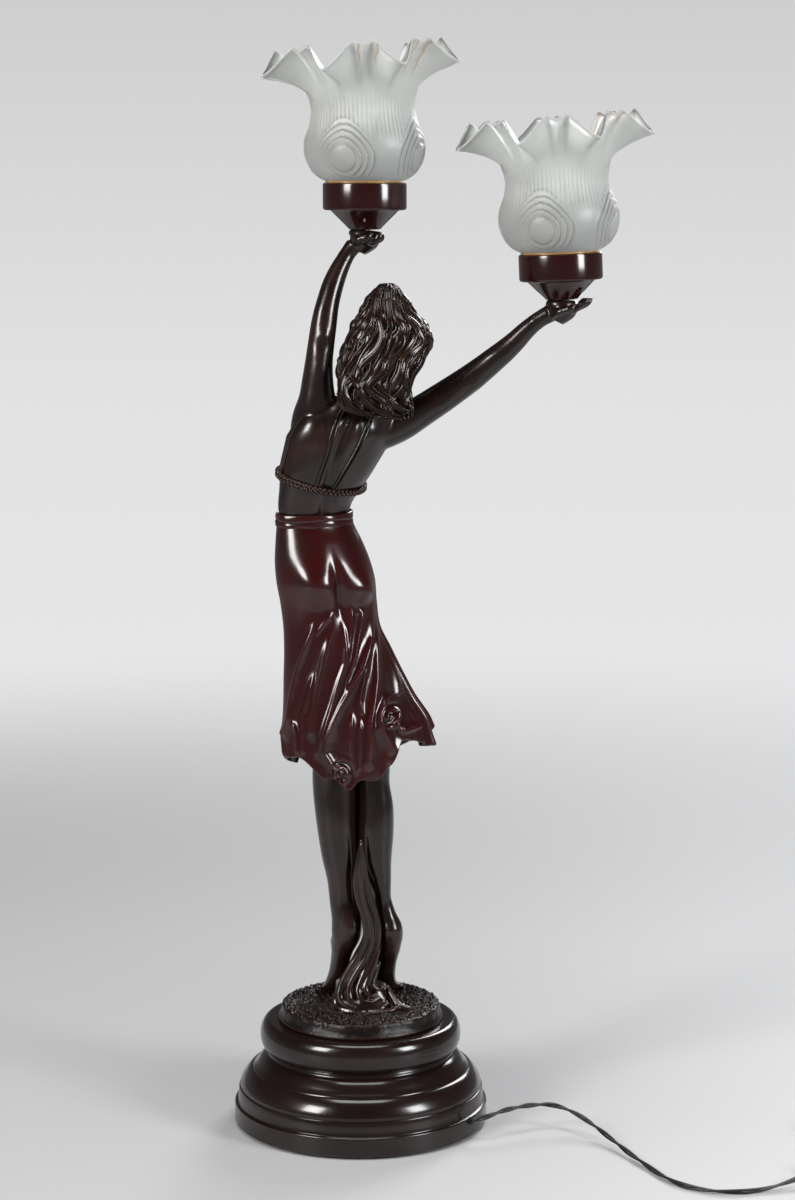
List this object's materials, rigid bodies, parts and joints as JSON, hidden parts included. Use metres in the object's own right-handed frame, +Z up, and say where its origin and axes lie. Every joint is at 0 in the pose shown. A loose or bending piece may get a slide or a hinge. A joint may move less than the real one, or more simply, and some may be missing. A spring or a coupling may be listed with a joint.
{
  "type": "figural table lamp",
  "caption": "Table lamp: a figure on tiptoe on a turned plinth holds up cups with ruffled frosted glass shades, with a cord, in-line switch and plug.",
  "frame": {"origin": "middle of the plinth's underside, on the surface that it stands on", "axes": "+Z up, +Y the way the figure looks (away from the picture's camera), +X to the figure's right"},
  "size_m": [0.6187, 0.2894, 0.8947],
  "materials": {
    "plinth_gloss": "dark brown gloss lacquer",
    "figure_dark": "dark brown gloss patina with reddish areas",
    "hair_copper": "dark brown with rubbed copper highlights",
    "skirt_maroon": "dark maroon gloss lacquer",
    "drape_brown": "brown gloss with gold-brown highlights",
    "cup_maroon": "maroon gloss lacquer",
    "frosted_glass": "acid-frosted pressed glass, faint green",
    "adhesive_amber": "amber adhesive",
    "steel_plate": "zinc-plated steel",
    "steel_tube": "plain steel tube",
    "brass_fitting": "plain brass",
    "felt": "dark green felt",
    "terminal_plastic": "cream moulded plastic",
    "black_rubber": "black rubber",
    "cord_black": "black twisted flex",
    "holder_black": "black moulded plastic",
    "bulb_cap": "nickel-plated",
    "bulb_glass": "opal white glass",
    "switch_black": "black moulded plastic"
  },
  "bodies": {
    "lamp": {"plinth": "plinth_gloss", "base_plate": "steel_plate", "felt_pad": "felt", "base_screws": "steel_plate", "ground_disc": "plinth_gloss", "fixing_washers": "steel_plate", "fixing_nuts": "brass_fitting", "terminal_block": "terminal_plastic", "terminal_screws": "brass_fitting", "cord_bush": "black_rubber", "inner_cord": "cord_black", "left_conduit": "steel_tube", "right_conduit": "steel_tube", "left_wires": "cord_black", "right_wires": "cord_black", "left_leg": "figure_dark", "right_leg": "figure_dark", "trailing_drape": "drape_brown", "skirt": "skirt_maroon", "waistband": "skirt_maroon", "torso": "figure_dark", "bodice": "figure_dark", "bodice_braid": "figure_dark", "shoulder_straps": "figure_dark", "head": "figure_dark", "hair": "hair_copper", "left_arm": "figure_dark", "right_arm": "figure_dark", "left_cup": "cup_maroon", "right_cup": "cup_maroon", "cup_nuts": "brass_fitting", "left_lampholder": "holder_black", "right_lampholder": "holder_black", "left_contacts": "brass_fitting", "right_contacts": "brass_fitting", "left_shade": "frosted_glass", "right_shade": "frosted_glass", "left_bead": "adhesive_amber", "right_bead": "adhesive_amber", "cord_run": "cord_black", "cord_link": "cord_black", "cord_coil": "cord_black", "cord_tail": "cord_black", "switch_base": "switch_black", "switch_cover": "switch_black", "plug_body": "switch_black", "plug_pins": "bulb_cap"},
    "bulb_left": {"left_bulb_cap": "bulb_cap", "left_bulb_glass": "bulb_glass"},
    "bulb_right": {"right_bulb_cap": "bulb_cap", "right_bulb_glass": "bulb_glass"},
    "rocker": {"switch_rocker": "switch_black"}
  },
  "joints": [
    {"name": "bulb_left_out", "type": "slide", "parent": "lamp", "child": "bulb_left", "axis": [0, 0, 1], "range_m": [0, 0.12]},
    {"name": "bulb_right_out", "type": "slide", "parent": "lamp", "child": "bulb_right", "axis": [-0.0436, 0, 0.999], "range_m": [0, 0.12]},
    {"name": "switch_rocker_tip", "type": "hinge", "parent": "lamp", "child": "rocker", "pos_m": [0.398, -0.1425, 0.0136], "axis": [-0.342, 0.9397, 0], "range_deg": [0, 16]}
  ]
}
